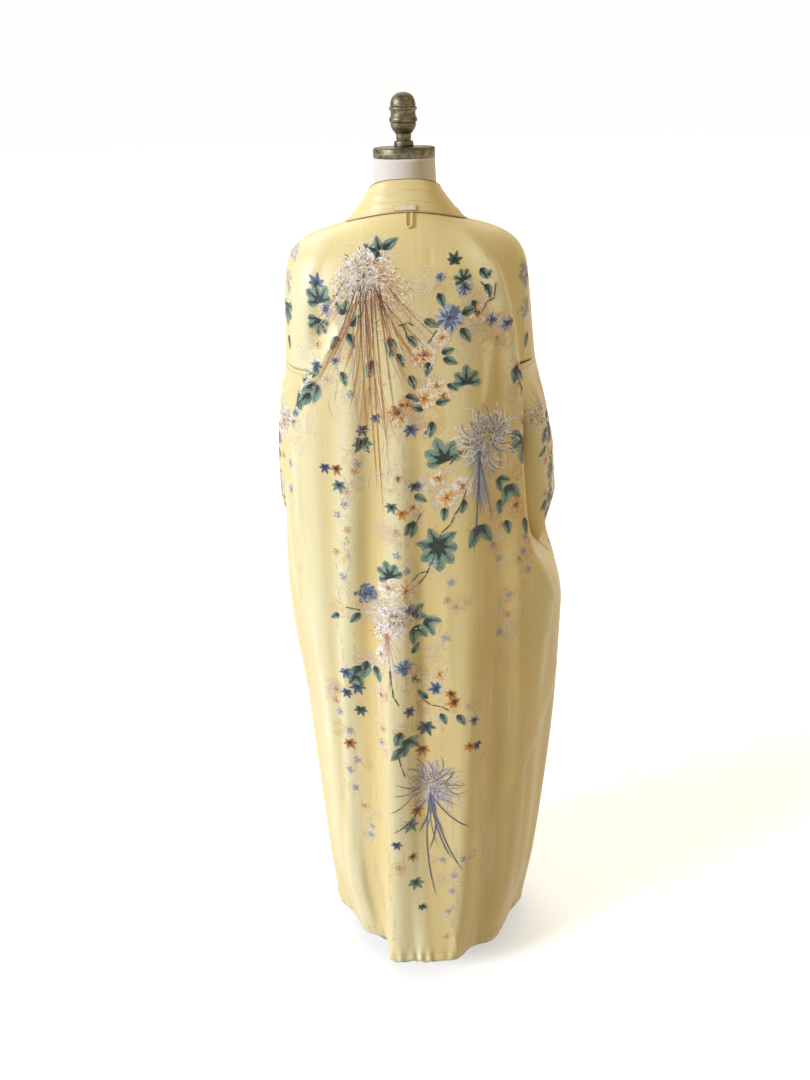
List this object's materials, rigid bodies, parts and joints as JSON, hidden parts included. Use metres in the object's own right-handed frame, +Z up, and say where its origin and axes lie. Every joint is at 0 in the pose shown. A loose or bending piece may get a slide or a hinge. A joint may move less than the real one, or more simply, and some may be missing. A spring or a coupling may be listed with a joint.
{
  "type": "silk kimono worn by a limbless dress form",
  "caption": "Long open-fronted silk kimono with a standing collar band and hanging sleeves, worn by a limbless dress form on a pole stand.",
  "frame": {"origin": "centre of the stand base's underside", "axes": "+Z up, -Y towards the garment's front, +X towards the wearer's left"},
  "size_m": [0.4973, 0.4014, 1.5902],
  "materials": {
    "silk": "satin",
    "label_tape": "woven",
    "linen": "woven",
    "antique_brass": "antique",
    "dark_steel": "satin",
    "cast_iron": "matte"
  },
  "bodies": {
    "root": {"back": "silk", "front_left": "silk", "front_right": "silk", "sleeve_left": "silk", "sleeve_right": "silk", "collar": "silk", "hanging_loop": "silk", "label": "label_tape", "form_body": "linen", "neck_cap": "antique_brass", "finial": "antique_brass", "pole": "dark_steel", "stand_base": "cast_iron"}
  },
  "joints": []
}
